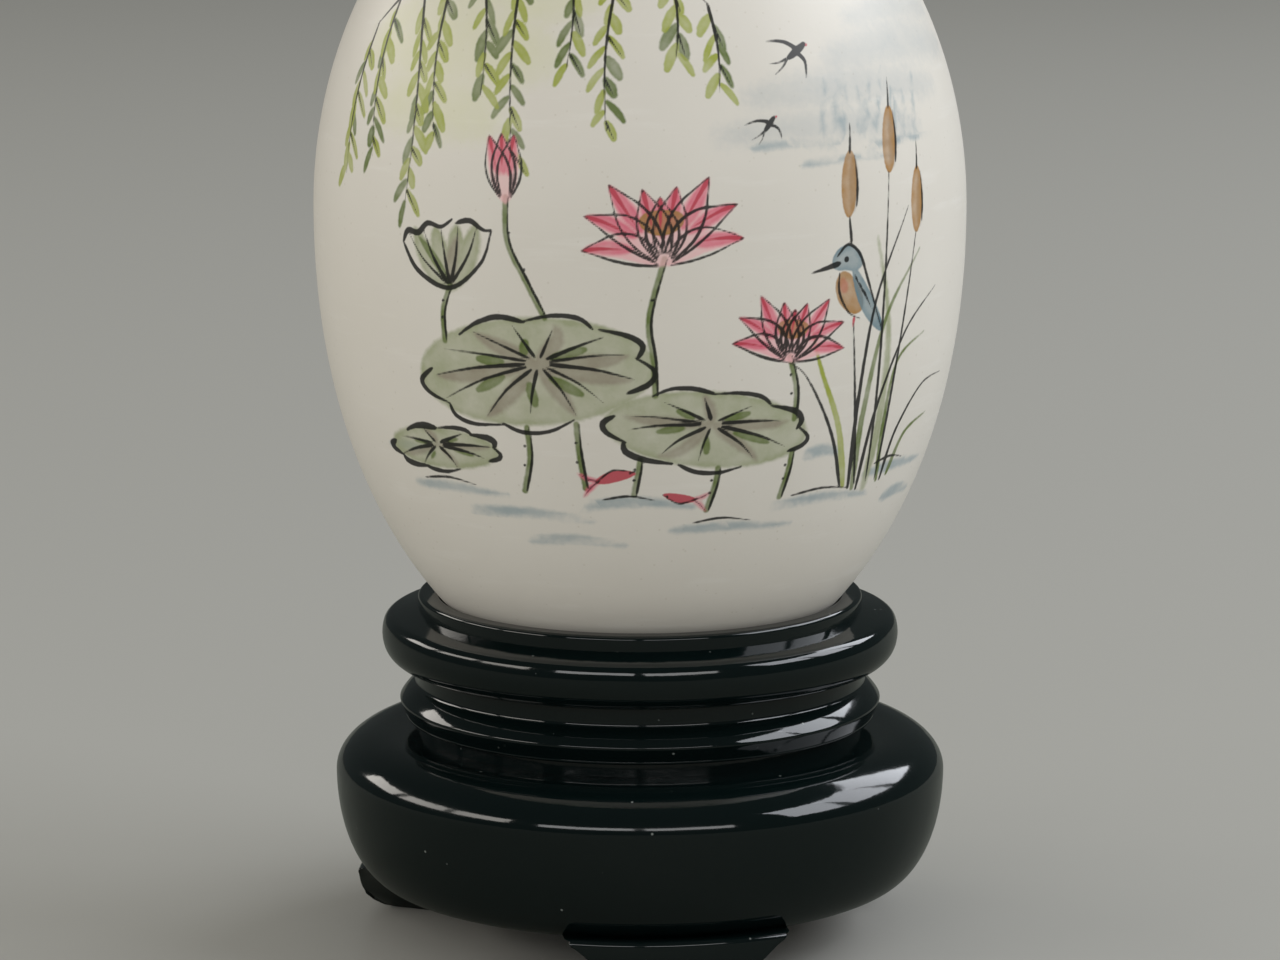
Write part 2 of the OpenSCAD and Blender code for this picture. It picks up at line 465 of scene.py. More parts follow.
@dataclass
class PondPainting:
    """A generic lotus pond under a willow, in ink and water colour."""

    strokes: list[Stroke] = field(default_factory=list)
    chance: random.Random = field(default_factory=lambda: random.Random(11))

    def lay(self, pigment: Pigment, brush: Brush, width: float, *path: Point) -> None:
        """Lays one stroke through the points of a path."""
        self.strokes.append(Stroke(pigment, brush, width, path))

    def lay_bow(self, pigment: Pigment, brush: Brush, width: float, x0: float, x1: float, z: float,
                rise: float, drop: float = 0.0) -> None:
        """Lays a nearly level stroke from x0 to x1, whose middle rises and whose end drops."""
        self.lay(pigment, brush, width, (x0, z), ((x0 + x1) / 2, z + rise), (x1, z - drop))

    def draw(self, parts: Sequence[tuple], centre: Point, degrees: float = 0.0, size: float = 1.0) -> None:
        """Lays the strokes of a motif.

        Args:
            parts: Pigment, brush, width and path of each stroke.
            centre: Where the origin of the paths goes.
            degrees: Turn in degrees.
            size: Size factor of the paths.
        """
        for pigment, brush, width, path in parts:
            self.lay(pigment, brush, width, *turned(path, centre, degrees, size))

    def near(self, value: float, spread: float) -> float:
        """A value with a small random change."""
        return value + self.chance.uniform(-spread, spread)

    def lotus_leaf(self, centre: Point, half: float, rise: float, tilt: float, veins: int) -> None:
        """Paints an open leaf, seen from the side: an olive wash, umber shading, veins and a wavy rim.

        Args:
            centre: Middle of the leaf.
            half: Half width.
            rise: Half height.
            tilt: Turn in degrees.
            veins: Number of veins.
        """
        def at(x: float, y: float) -> Point:
            """A point of the leaf, where the rim lies at distance one from the middle."""
            return turned([(x * half, y * rise)], centre, tilt)[0]

        self.lay(LEAF, DAB, 2.0 * rise, at(-0.98, 0), at(0, 0.03), at(0.98, 0))
        hub = (self.near(0.05, 0.1), 0.18)
        for number in range(veins):
            angle = math.tau * (number + self.near(0.5, 0.22)) / veins
            x, y = math.cos(angle), math.sin(angle)
            reach = self.near(0.86, 0.09)
            tip = at(hub[0] + (x - hub[0]) * reach, hub[1] + (y - hub[1]) * reach)
            middle = at(hub[0] + (x * 0.55 - hub[0] * 0.5), hub[1] + (y * 0.5 - hub[1] * 0.5) + 0.05)
            start = at(hub[0] + 0.12 * x, hub[1] + 0.12 * y)
            self.lay(INK, TAPER, self.near(0.3, 0.08), start, middle, tip)
            side = at(x * 0.62 + self.near(0.06, 0.04), y * 0.62)
            if number % 2 == 0:
                self.lay(SHADE, PETAL, 0.42 * rise, at(*hub), side, at(x * 0.9, y * 0.9))
            else:
                self.lay(MOSS, DAB, 0.2 * rise, at(x * 0.25, y * 0.25 + 0.1), side)
        # The rim is broken: two of its nine waves are left out.
        waves = 9
        for number in (0, 1, 2, 4, 5, 6, 8):
            first = math.tau * number / waves + self.near(0.2, 0.05)
            path = []
            for part, swell in ((0.0, -0.04), (0.3, 0.07), (0.62, 0.07), (1.0, -0.04)):
                angle = first + math.tau / waves * part
                out = 1.0 + swell + self.near(0, 0.02)
                path.append(at(math.cos(angle) * out, math.sin(angle) * out))
            self.lay(INK, LINE, self.near(0.42, 0.1), *path)

    def folded_leaf(self, foot: Point, half: float, rise: float, tilt: float) -> None:
        """Paints a young leaf that is folded like a boat.

        Args:
            foot: Where the stem meets it.
            half: Half width.
            rise: Height.
            tilt: Turn in degrees.
        """
        folds = (-0.55, -0.15, 0.25, 0.6)
        washes = [(LEAF, 0.62, [(0, 0), (x * 0.75, 0.45), (x * 1.25, 0.98)]) for x in folds]
        washes.append((SHADE, 0.36, [(0.05, 0.05), (0.1, 0.4), (0.3, 0.8)]))
        washes.append((MOSS, 0.25, [(0, 0.05), (-0.3, 0.5), (-0.62, 0.86)]))
        parts = [(pigment, PETAL, half * width, path) for pigment, width, path in washes]
        for x in (-0.78, -0.42, -0.05, 0.3, 0.68):
            vein = [(x * 0.1, 0.08), (x * 0.72, 0.5), (x * 1.1, 0.94)]
            parts.append((INK, TAPER, self.near(0.3, 0.06), vein))
        rims = (
            (0.42, [(-1.0, 0.78), (-0.86, 0.95), (-0.6, 0.9), (-0.35, 1.04), (-0.05, 0.96), (0.22, 1.06)]),
            (0.38, [(0.3, 1.0), (0.6, 1.02), (0.85, 0.86), (1.02, 0.84)]),
            (0.36, [(-1.0, 0.76), (-0.7, 0.3), (0, 0), (0.72, 0.34), (1.02, 0.82)]),
        )
        parts += [(INK, LINE, width, path) for width, path in rims]
        for pigment, brush, width, path in parts:
            self.lay(pigment, brush, width, *turned([(x * half, y * rise) for x, y in path], foot, tilt))

    def petal(self, base: Point, degrees: float, length: float, width: float, bend: float = 0.0) -> None:
        """Paints a petal from its base: a pale wash, a rosy tip and thin outlines.

        Args:
            base: Foot of the petal.
            degrees: Direction, counterclockwise from the right.
            length: Length.
            width: Greatest width.
            bend: Sideways bend of its middle.
        """
        def at(x: float, y: float) -> Point:
            """A point of the petal, x along it."""
            return turned([(x * length, y * width + bend * math.sin(math.pi * x))], base, degrees)[0]

        self.lay(BLUSH, PETAL, width, at(0, 0), at(0.5, 0), at(1, 0))
        self.lay(ROSE, PETAL, width * 0.62, at(0.42, 0), at(0.75, 0), at(1.02, 0))
        self.lay(CRIMSON, TAPER, width * 0.16, at(1.0, 0), at(0.8, 0.02), at(0.5, 0.05))
        for side in (-1, 1):
            edge = [(0.06, 0.2), (0.35, 0.46), (0.62, 0.44), (0.86, 0.2), (1.03, 0.0)]
            self.lay(INK, LINE, self.near(0.2, 0.04), *(at(x, side * y) for x, y in edge))

    def lotus(self, base: Point, size: float, tilt: float) -> None:
        """Paints an open lotus with its seed pod.

        Args:
            base: Where the stem meets it.
            size: Length of a petal.
            tilt: Turn in degrees.
        """
        for degrees, length in ((168, 0.95), (12, 0.95), (146, 1.05), (34, 1.05)):
            bend = 0.1 * size * (1 if degrees < 90 else -1)
            self.petal(base, degrees + tilt, size * length, size * 0.36, bend)
        self.draw([(OCHRE, DAB, size * 0.3, [(-0.22, 0.5), (0, 0.46), (0.22, 0.5)])], base, tilt, size)
        for degrees, length in ((122, 1.08), (58, 1.08), (103, 0.86), (77, 0.86), (90, 0.74)):
            self.petal(base, degrees + tilt, size * length, size * 0.4)

    def bud(self, base: Point, size: float, tilt: float) -> None:
        """Paints a closed bud of a size at the end of its stem, with a tilt in degrees."""
        for degrees in (102, 78, 90):
            self.petal(base, degrees + tilt, size, size * 0.42)

    def stem(self, path: Sequence[Point], width: float = 0.4) -> None:
        """Paints a stem in moss green with an ink edge and thorns.

        Args:
            path: Points from its foot to its head.
            width: Width of the green.
        """
        self.lay(MOSS, EVEN, width, *path)
        self.lay(INK, LINE, width * 0.55, *((x + width * 0.4, z) for x, z in path))
        (x0, z0), (x1, z1) = path[0], path[-1]
        for part in (0.4, 0.7):
            x, z = x0 + (x1 - x0) * part, z0 + (z1 - z0) * part
            nearest = min(path, key=lambda p: abs(p[1] - z))
            x = (x + nearest[0]) / 2
            self.lay(INK, DAB, 0.22, (x - 0.35, z), (x - 0.1, z + 0.08))

    def frond(self, start: Point, end: Point, sway: float, leaves: int) -> None:
        """Paints a hanging willow twig with its leaves.

        Args:
            start: Top of the twig.
            end: Its tip.
            sway: Sideways bow of its middle.
            leaves: Number of leaves.
        """
        def at(part: float) -> Point:
            """A point of the twig."""
            bow = sway * math.sin(math.pi * part)
            return start[0] + (end[0] - start[0]) * part + bow, start[1] + (end[1] - start[1]) * part

        self.lay(INK, TAPER, 0.26, *(at(i / 5) for i in range(6)))
        for number in range(leaves):
            x, z = at(0.12 + 0.88 * number / leaves)
            side = 1 if number % 2 else -1
            length = self.near(1.75, 0.4)
            lean = math.radians(self.near(-62, 14))
            dx, dz = side * math.cos(lean) * length, math.sin(lean) * length
            pigment = self.chance.choice([SAP, SAP, MOSS])
            width = self.near(0.62, 0.16)
            self.lay(pigment, DAB, width, (x, z), (x + dx * 0.55, z + dz * 0.45), (x + dx, z + dz))
            if number % 4 == 1:
                self.lay(INK, TAPER, 0.18, (x, z), (x + dx * 0.9, z + dz * 0.9))

    def willow(self) -> None:
        """Paints the branch at the top left with its hanging twigs over a pale wash."""
        for z, left, right, width in ((68, -17, -3, 7.5), (63.5, -21, -6, 6.0), (59.5, -20, -10, 4.5)):
            self.lay_bow(SPRING, DAB, width, left, right, z, 0.6, 0.4)
        boughs = (
            (INK, 1.2, [(-19.5, 69.4), (-12.5, 71.6), (-7.0, 70.6), (-1.5, 71.6), (3.5, 70.4)]),
            (SHADE, 1.0, [(-19.0, 70.2), (-12.5, 72.3), (-7.0, 71.2), (-1.5, 72.2)]),
            (INK, 0.6, [(-9.5, 71.0), (-12.5, 68.6), (-17.0, 67.4), (-21.5, 64.4)]),
            (INK, 0.5, [(-4.5, 71.0), (-1.5, 69.2), (2.2, 68.4), (4.6, 66.4)]),
        )
        for pigment, width, path in boughs:
            self.lay(pigment, TAPER, width, *path)
        fronds = (
            (-21.3, 64.6, -24.0, 54.6, -0.6, 13),
            (-18.6, 66.9, -20.6, 56.0, -0.8, 15),
            (-16.2, 67.7, -17.2, 52.8, 0.5, 19),
            (-13.4, 68.4, -14.6, 57.4, -0.6, 15),
            (-11.2, 70.0, -10.9, 60.6, 0.5, 12),
            (-7.6, 70.6, -8.6, 56.6, -0.5, 18),
            (-4.8, 70.6, -4.9, 62.2, 0.5, 11),
            (-1.2, 69.3, -2.2, 58.6, -0.5, 14),
            (2.0, 68.4, 2.3, 63.0, 0.3, 8),
            (4.4, 66.6, 5.2, 61.0, 0.3, 8),
        )
        for x0, z0, x1, z1, sway, leaves in fronds:
            self.frond((x0, z0), (x1, z1), sway, leaves)

    def far_shore(self) -> None:
        """Paints the misty far shore at the top right."""
        banks = ((7, 25, 60.6, 1.9), (13, 29, 62.9, 2.2), (5, 22, 58.2, 1.3), (15, 27, 65.2, 1.6))
        for x0, x1, z, width in banks:
            self.lay_bow(MIST, DAB, width, x0, x1, z, 0.5, 0.3)
        for number in range(10):
            x = 12.6 + 1.0 * number + self.near(0, 0.35)
            lean = self.near(0.3, 0.5)
            self.lay(WATER, TAPER, 0.36, (x, 58.0), (x + lean * 0.4, 59.4), (x + lean, self.near(61.2, 0.8)))
        for x0, x1, z in ((7.5, 14.0, 57.4), (16.5, 25.0, 57.0), (11.0, 19.0, 56.2)):
            self.lay_bow(WATER, TAPER, 0.5, x0, x1, z, 0.2)

    def swallow(self, centre: Point, degrees: float, size: float) -> None:
        """Paints a small swallow.

        Args:
            centre: Middle of the bird.
            degrees: Turn in degrees.
            size: Length of a wing.
        """
        parts = (
            (INK, TAPER, 0.34, [(0.1, 0.05), (-0.35, 0.5), (-0.95, 0.75)]),
            (INK, TAPER, 0.32, [(0.0, 0.0), (0.25, -0.45), (0.1, -1.0)]),
            (INK, DAB, 0.46, [(0.5, 0.12), (0.1, 0.0), (-0.4, -0.12)]),
            (INK, TAPER, 0.16, [(-0.35, -0.08), (-0.7, -0.1), (-1.1, 0.0)]),
            (INK, TAPER, 0.16, [(-0.35, -0.1), (-0.65, -0.3), (-1.0, -0.42)]),
            (CRIMSON, DAB, 0.2, [(0.42, 0.02), (0.56, 0.04)]),
        )
        scaled = [(pigment, brush, width * size * 0.6, path) for pigment, brush, width, path in parts]
        self.draw(scaled, centre, degrees, size)

    def reeds(self) -> None:
        """Paints the reeds and cattails at the right."""
        blades = (
            (INK, 0.42, [(15.4, 33.8), (15.9, 40), (17.4, 47), (20.6, 52.8)]),
            (INK, 0.38, [(16.2, 33.6), (17.6, 39), (20.6, 44.4), (24.4, 47.0)]),
            (MOSS, 0.62, [(15.8, 33.7), (16.4, 39), (18.4, 45.6), (22.0, 49.8)]),
            (LEAF, 0.9, [(17.0, 33.6), (18.2, 39), (18.6, 45), (17.4, 51)]),
            (MOSS, 0.5, [(18.4, 33.9), (18.6, 38), (19.8, 42.4), (23.0, 44.0)]),
            (INK, 0.36, [(18.8, 33.9), (20.2, 37.4), (23.2, 40.2), (26.6, 40.6)]),
            (INK, 0.34, [(14.6, 34.0), (13.6, 38), (11.4, 42.2), (9.6, 43.4)]),
            (SAP, 0.6, [(14.9, 34.0), (14.2, 38.4), (12.6, 42.6), (11.6, 46.4)]),
            (MOSS, 0.5, [(19.6, 34.2), (21.4, 37.0), (24.6, 38.0)]),
        )
        for pigment, width, path in blades:
            self.lay(pigment, TAPER, width, *path)
        # The first stalk shows only under and over the kingfisher that clings to it.
        stalks = (
            (14.8, 56.2, [(16.0, 34.0), (15.6, 40.0), (15.25, 45.4)]),
            (14.8, 56.2, [(15.0, 50.8), (14.8, 52.6)]),
            (18.6, 58.8, [(17.2, 34.0), (17.8, 42.0), (18.5, 55.2)]),
            (21.6, 54.6, [(18.2, 34.0), (19.6, 42.0), (21.5, 51.0)]),
        )
        head = (
            (INK, TAPER, 0.24, [(0.05, 0.5), (0.1, 1.5), (0.1, 2.5)]),
            (OCHRE, DAB, 1.35, [(-0.05, -3.6), (0, -1.6), (0.1, 0.6)]),
            (SHADE, DAB, 0.8, [(0.25, -3.3), (0.35, -1.6), (0.35, 0.2)]),
            (INK, LINE, 0.22, [(0.62, -3.0), (0.7, -1.5), (0.5, 0.3)]),
        )
        for x, top, path in stalks:
            self.lay(INK, LINE, 0.26, *path)
            self.draw(head, (x, top))

    def kingfisher(self, centre: Point) -> None:
        """Paints a kingfisher that clings to a stalk.

        Args:
            centre: Middle of its body.
        """
        feathers = [[(0.1, 0.85), (0.9, -0.5)], [(0.5, 0.3), (1.3, -1.05)], [(0.9, -0.25), (1.7, -1.6)]]
        parts = (
            (OCHRE, DAB, 1.9, [(-0.9, 0.9), (-0.5, -0.2), (0.5, -1.4)]),
            (ROSE, DAB, 0.7, [(-1.0, 0.7), (-0.7, -0.2)]),
            (SLATE, PETAL, 1.7, [(2.6, -3.0), (1.1, -0.9), (-0.1, 1.5)]),
            (SLATE, DAB, 1.7, [(-1.5, 1.7), (-0.6, 2.1), (0.5, 1.6)]),
            *((INK, TAPER, 0.2, path) for path in feathers),
            (INK, LINE, 0.24, [(-1.4, 2.2), (-0.5, 2.95), (0.55, 2.2), (1.3, 0.4), (2.7, -3.1)]),
            (INK, TAPER, 0.46, [(-1.2, 1.75), (-2.3, 1.5), (-3.5, 1.25)]),
            (INK, DAB, 0.42, [(-0.75, 1.95), (-0.5, 1.98)]),
            (INK, LINE, 0.2, [(-1.2, 1.1), (-1.2, -0.2), (-0.4, -1.6), (0.6, -2.1)]),
            (CRIMSON, LINE, 0.26, [(0.1, -1.9), (0.0, -2.6)]),
        )
        self.draw(parts, centre)

    def fish(self, centre: Point, degrees: float, size: float) -> None:
        """Paints a small red fish.

        Args:
            centre: Middle of the fish.
            degrees: Turn in degrees.
            size: Length.
        """
        parts = [(CRIMSON, PETAL, 0.42 * size, [(-0.45, 0), (0, 0.04), (0.5, 0)])]
        for side in (-1, 1):
            tail = [(-0.4, 0), (-0.62, 0.1 * side), (-0.85, 0.3 * side)]
            parts += [(ROSE, PETAL, 0.2 * size, tail), (INK, TAPER, 0.14, tail)]
        parts.append((INK, LINE, 0.16, [(-0.4, 0.03), (0, 0.2), (0.48, 0.02)]))
        parts.append((INK, DAB, 0.2, [(0.34, 0.04), (0.38, 0.04)]))
        self.draw(parts, centre, degrees, size)

    def water(self) -> None:
        """Paints the water as short strokes of pale blue and ink."""
        lines = (
            (-17.0, -9.0, 34.0), (-12.0, -3.0, 32.6), (-3.5, 3.5, 33.6), (2.0, 10.5, 31.8),
            (9.0, 17.5, 33.2), (-19.5, -15.0, 36.4), (11.5, 14.5, 36.6), (17.0, 25.0, 34.6),
            (-7.5, -1.0, 30.8), (19.5, 24.0, 32.4),
        )
        for x0, x1, z in lines:
            wave = self.near(0.25, 0.1)
            self.lay_bow(WATER, LINE, self.near(0.75, 0.2), x0, x1, z, wave, 0.1)
        inked = (
            (-16.0, -11.5, 34.5), (-2.5, 1.0, 34.0), (10.5, 15.5, 33.8), (3.5, 7.5, 32.3), (18.0, 21.5, 35.2),
        )
        for x0, x1, z in inked:
            self.lay_bow(INK, LINE, 0.2, x0, x1, z, 0.3)

    def paint(self) -> list[Stroke]:
        """Lays all the strokes.

        Returns:
            The strokes.
        """
        self.far_shore()
        self.willow()
        self.water()
        # Each stem is painted only where no leaf lies in front of it.
        stems = (
            [(-7.8, 34.4), (-7.4, 36.8), (-7.6, 38.9)],
            [(4.4, 33.2), (5.0, 35.0), (5.2, 36.2)],
            [(1.0, 41.3), (0.9, 43.6), (0.6, 46.5), (1.6, 50.4)],
            [(-0.4, 34.4), (-0.1, 36.0), (0.0, 36.9)],
            [(-13.7, 44.4), (-13.8, 46.4), (-13.2, 48.2)],
            [(-6.3, 46.4), (-7.6, 48.8), (-8.9, 51.4), (-9.0, 54.2)],
            [(-3.6, 34.8), (-4.0, 37.2), (-4.2, 39.3)],
            [(10.6, 39.3), (10.7, 41.4), (10.2, 43.6)],
            [(9.6, 33.8), (10.2, 35.6), (10.5, 37.0)],
        )
        for path in stems:
            self.stem(path)
        self.reeds()
        self.lotus((10.2, 43.4), 4.4, -6)
        self.folded_leaf((-13.2, 48.0), 3.6, 4.2, 8)
        self.bud((-9.0, 54.0), 4.2, 4)
        self.lotus_leaf((4.6, 38.8), 6.6, 2.7, -6, 10)
        self.lotus_leaf((-7.4, 42.6), 7.8, 3.7, 5, 13)
        self.lotus_leaf((-14.4, 36.8), 4.6, 1.5, 2, 8)
        self.lotus((1.6, 50.2), 5.6, 4)
        self.kingfisher((15.2, 47.8))
        self.fish((-1.6, 35.6), 14, 2.8)
        self.fish((2.6, 34.2), 168, 2.3)
        self.swallow((10.6, 63.4), 20, 1.9)
        self.swallow((8.6, 58.9), 38, 1.4)
        return self.strokes


def measure(points: np.ndarray, strokes: list[Stroke], egg: "Egg") -> dict[Pigment, np.ndarray]:
    """Measures how far points on the shell lie inside the strokes of each pigment.

    Args:
        points: Places on the shell, in millimetres.
        strokes: The painting.
        egg: Egg that the strokes are laid on.

    Returns:
        For each pigment the distances in millimetres, negative outside its strokes.
    """
    inside = {pigment: np.full(len(points), FAR_OUTSIDE) for pigment in Pigment}
    for stroke in strokes:
        flat, half = stroke.trace()
        line = egg.place(flat)
        margin = half.max() - FAR_OUTSIDE
        near = np.flatnonzero(np.all((points > line.min(0) - margin) & (points < line.max(0) + margin), 1))
        best = np.full(len(near), FAR_OUTSIDE)
        for start, end, half_start, half_end in zip(line, line[1:], half, half[1:]):
            step = end - start
            part = np.clip((points[near] - start) @ step / max(step @ step, TINY), 0, 1)
            away = np.linalg.norm(points[near] - start - part[:, None] * step, axis=1)
            best = np.maximum(best, half_start + (half_end - half_start) * part - away)
        inside[stroke.pigment][near] = np.maximum(inside[stroke.pigment][near], best)
    return inside


@dataclass(frozen=True)
class Seat:
    """Line on which the egg rests, and the way that the egg's surface faces there."""

    egg_radius: float = 22.5
    egg_low: float = 34.2
    power: float = 2.14
    share: float = 0.793
    gap: float = 0.1
    width: float = 1.0

    @property
    def radius(self) -> float:
        """Radius of the line."""
        return self.egg_radius * math.sqrt(1 - self.share**self.power)

    @property
    def slope(self) -> float:
        """Rise of the seat along the radius."""
        drop = self.egg_low * self.share
        return self.egg_radius**2 * self.power * self.share**self.power / drop / (2 * self.radius)

    @property
    def tilt(self) -> float:
        """Angle of the egg's surface below the horizontal, in radians."""
        return math.atan(self.slope)

    @property
    def bore(self) -> float:
        """Radius of the collar's bore."""
        return self.radius - self.width


SEAT = Seat()


@dataclass(frozen=True)
class LacquerFinish(Finish):
    """Black lacquer, brushed and rubbed over turned wood: deep black with a cold cast and a wet gloss."""

    name: str = "black_lacquer_on_turned_wood"
    black: str = "#060F0F"
    dust: str = "#8E9490"
    refraction: float = 1.52
    smear_mm: float = 9.0
    roughness: Point = (0.05, 0.12)
    wave_mm: float = 6.0
    wave_depth: float = 0.05
    peel_mm: float = 1.4
    peel_depth: float = 0.011
    speck_mm: float = 1.5

    def surface(self, board: NodeBoard) -> dict[str, Any]:
        """Lays out the finish.

        Args:
            board: Node tree of the material.

        Returns:
            Inputs of its shader.
        """
        place = board.place()
        # Rubbed lacquer has faint smears in its gloss, about as wide as a fingertip.
        smear = board.noise(place, self.smear_mm, 3.0, 0.55)
        # Lacquer brushed on by hand levels into low waves and a fine orange peel, which break up
        # the highlights.
        waves = board.relief(board.noise(place, self.wave_mm, 1.0), self.wave_depth)
        peel = board.relief(board.noise(place, self.peel_mm, 2.0), self.peel_depth, Normal=waves)
        # Dust: some cells hold a speck, which is drawn up to 0.2 mm wide so that it shows.
        cells = board.cells(place, self.speck_mm)
        speck = board.fit(cells.outputs["Distance"], (0.07, 0.04), (0.0, 0.6))
        chosen = board.reckon("GREATER_THAN", cells.outputs["Color"], 0.56)
        return {
            "Base Color": board.blend(board.reckon("MULTIPLY", speck, chosen), self.black, self.dust),
            "Roughness": board.fit(smear, (0.35, 0.7), self.roughness),
            "Normal": peel,
            "IOR": self.refraction,
        }


@dataclass(frozen=True)
class PlasterFinish(Finish):
    """Plaster filler, pressed in wet and wiped flat: matt off-white with fine pits."""

    name: str = "wiped_plaster_filler"
    white: str = "#E4E0D6"
    grey: str = "#CFCABE"
    pit_mm: float = 0.5
    pit_depth: float = 0.03

    def surface(self, board: NodeBoard) -> dict[str, Any]:
        """Inputs of its shader."""
        grain = board.noise(board.place(), self.pit_mm, 4.0)
        return {
            "Base Color": board.blend(grain, self.grey, self.white),
            "Roughness": 0.85,
            "Normal": board.relief(grain, self.pit_depth, 0.6),
        }


@dataclass(frozen=True)
class DowelFinish(Finish):
    """Birch dowel, machine-turned and left bare: pale with long fine grain along its length."""

    name: str = "bare_birch_dowel"
    pale: str = "#D9BE93"
    dark: str = "#B98F5E"
    grain_mm: float = 0.35

    def surface(self, board: NodeBoard) -> dict[str, Any]:
        """Inputs of its shader."""
        # The grain runs along the dowel, so the pattern is drawn out twelve times along Z.
        grain = board.noise(board.drawn_out(board.place(), 0.08), self.grain_mm, 5.0)
        return {"Base Color": board.blend(grain, self.pale, self.dark), "Roughness": 0.65}


@dataclass(frozen=True)
class TableFinish(Finish):
    """Pale satin table top."""

    name: str = "pale_satin_table_top"
    table: str = "#AFAEA8"
    mirrored: str = "#62655D"
    roughness: float = 0.3

    def surface(self, board: NodeBoard) -> dict[str, Any]:
        """Inputs of its shader."""
        # Gloss on the lacquer sees a darker, matt table, as in a room that is dim away from the windows.
        in_gloss = board.in_gloss()
        return {
            "Base Color": board.blend(in_gloss, self.table, self.mirrored),
            "Roughness": board.fit(in_gloss, (0.0, 1.0), (self.roughness, 1.0)),
        }


@dataclass(frozen=True)
class ShellFinish(Finish):
    """Bleached duck eggshell, painted in ink and water colour under a thin varnish."""

    name: str = "varnished_painted_eggshell"
    ivory: str = "#E2DED5"
    warm: str = "#D8D3C9"
    pore: str = "#BFB7A6"
    chalk: str = "#ECEAE4"
    roughness: float = 0.42
    refraction: float = 1.45
    grain_mm: float = 0.45
    grain_depth: float = 0.012
    pool_mm: float = 2.4
    cloud_mm: float = 12.0
    pore_mm: float = 0.9
    wipe_mm: float = 9.0

    def bare_shell(self, board: NodeBoard, place: Socket) -> Socket:
        """Colours the bare shell.

        Args:
            board: Node tree of the material.
            place: Object coordinates.

        Returns:
            The colour.
        """
        tone = board.blend(board.noise(place, self.cloud_mm, 3.0), self.ivory, self.warm)
        # A duck's egg has shallow pores, which hold a little grime.
        pores = board.cells(place, self.pore_mm).outputs["Distance"]
        tone = board.blend(board.fit(pores, (0.12, 0.04), (0.0, 0.35)), tone, self.pore)
        # The varnish was wiped on round the egg, which left chalky marks, drawn out eight times across.
        marks = board.noise(board.drawn_out(place, 8.0), self.wipe_mm, 6.0, 0.6)
        return board.blend(board.fit(marks, (0.58, 0.75), (0.0, 0.3)), tone, self.chalk)

    def lay_pigment(
        self, board: NodeBoard, under: Socket, pigment: Pigment, grain: Socket, pool: Socket
    ) -> Socket:
        """Lays one pigment over what is under it.

        Args:
            board: Node tree of the material.
            under: Colour under it.
            pigment: The pigment.
            grain: Fine noise about zero, which makes the edges ragged.
            pool: Coarse noise about one, by which a sheer wash pools.

        Returns:
            The colour with the pigment on it.
        """
        tint: Tint = pigment.value
        strokes = add_node(board.tree, "ShaderNodeAttribute", {}, attribute_name=pigment.layer).outputs["Fac"]
        ragged = board.reckon("MULTIPLY_ADD", grain, 2 * tint.ragged, strokes)
        amount = board.fit(ragged, (-tint.edge, tint.edge), (0.0, tint.cover), "SMOOTHSTEP")
        if tint.sheer:
            # A wash dries darker along its edge than inside it.
            dried = board.reckon("MULTIPLY", amount, board.fit(ragged, (0.1, 0.55), (1.0, 0.78)))
            amount = board.reckon("MULTIPLY", dried, pool, clamp=True)
        return board.blend(amount, under, tint.colour)

    def surface(self, board: NodeBoard) -> dict[str, Any]:
        """Lays out the finish.

        Args:
            board: Node tree of the material.

        Returns:
            Inputs of its shader.
        """
        place = board.place()
        fine = board.noise(place, self.grain_mm, 2.0)
        grain = board.reckon("SUBTRACT", fine, 0.5)
        pool = board.fit(board.noise(place, self.pool_mm, 4.0, 0.6), (0.3, 0.7), (0.72, 1.22))
        colour = self.bare_shell(board, place)
        for pigment in Pigment:
            colour = self.lay_pigment(board, colour, pigment, grain, pool)
        return {
            "Base Color": colour,
            "Roughness": self.roughness,
            "IOR": self.refraction,
            "Normal": board.relief(fine, self.grain_depth, 0.5),
        }


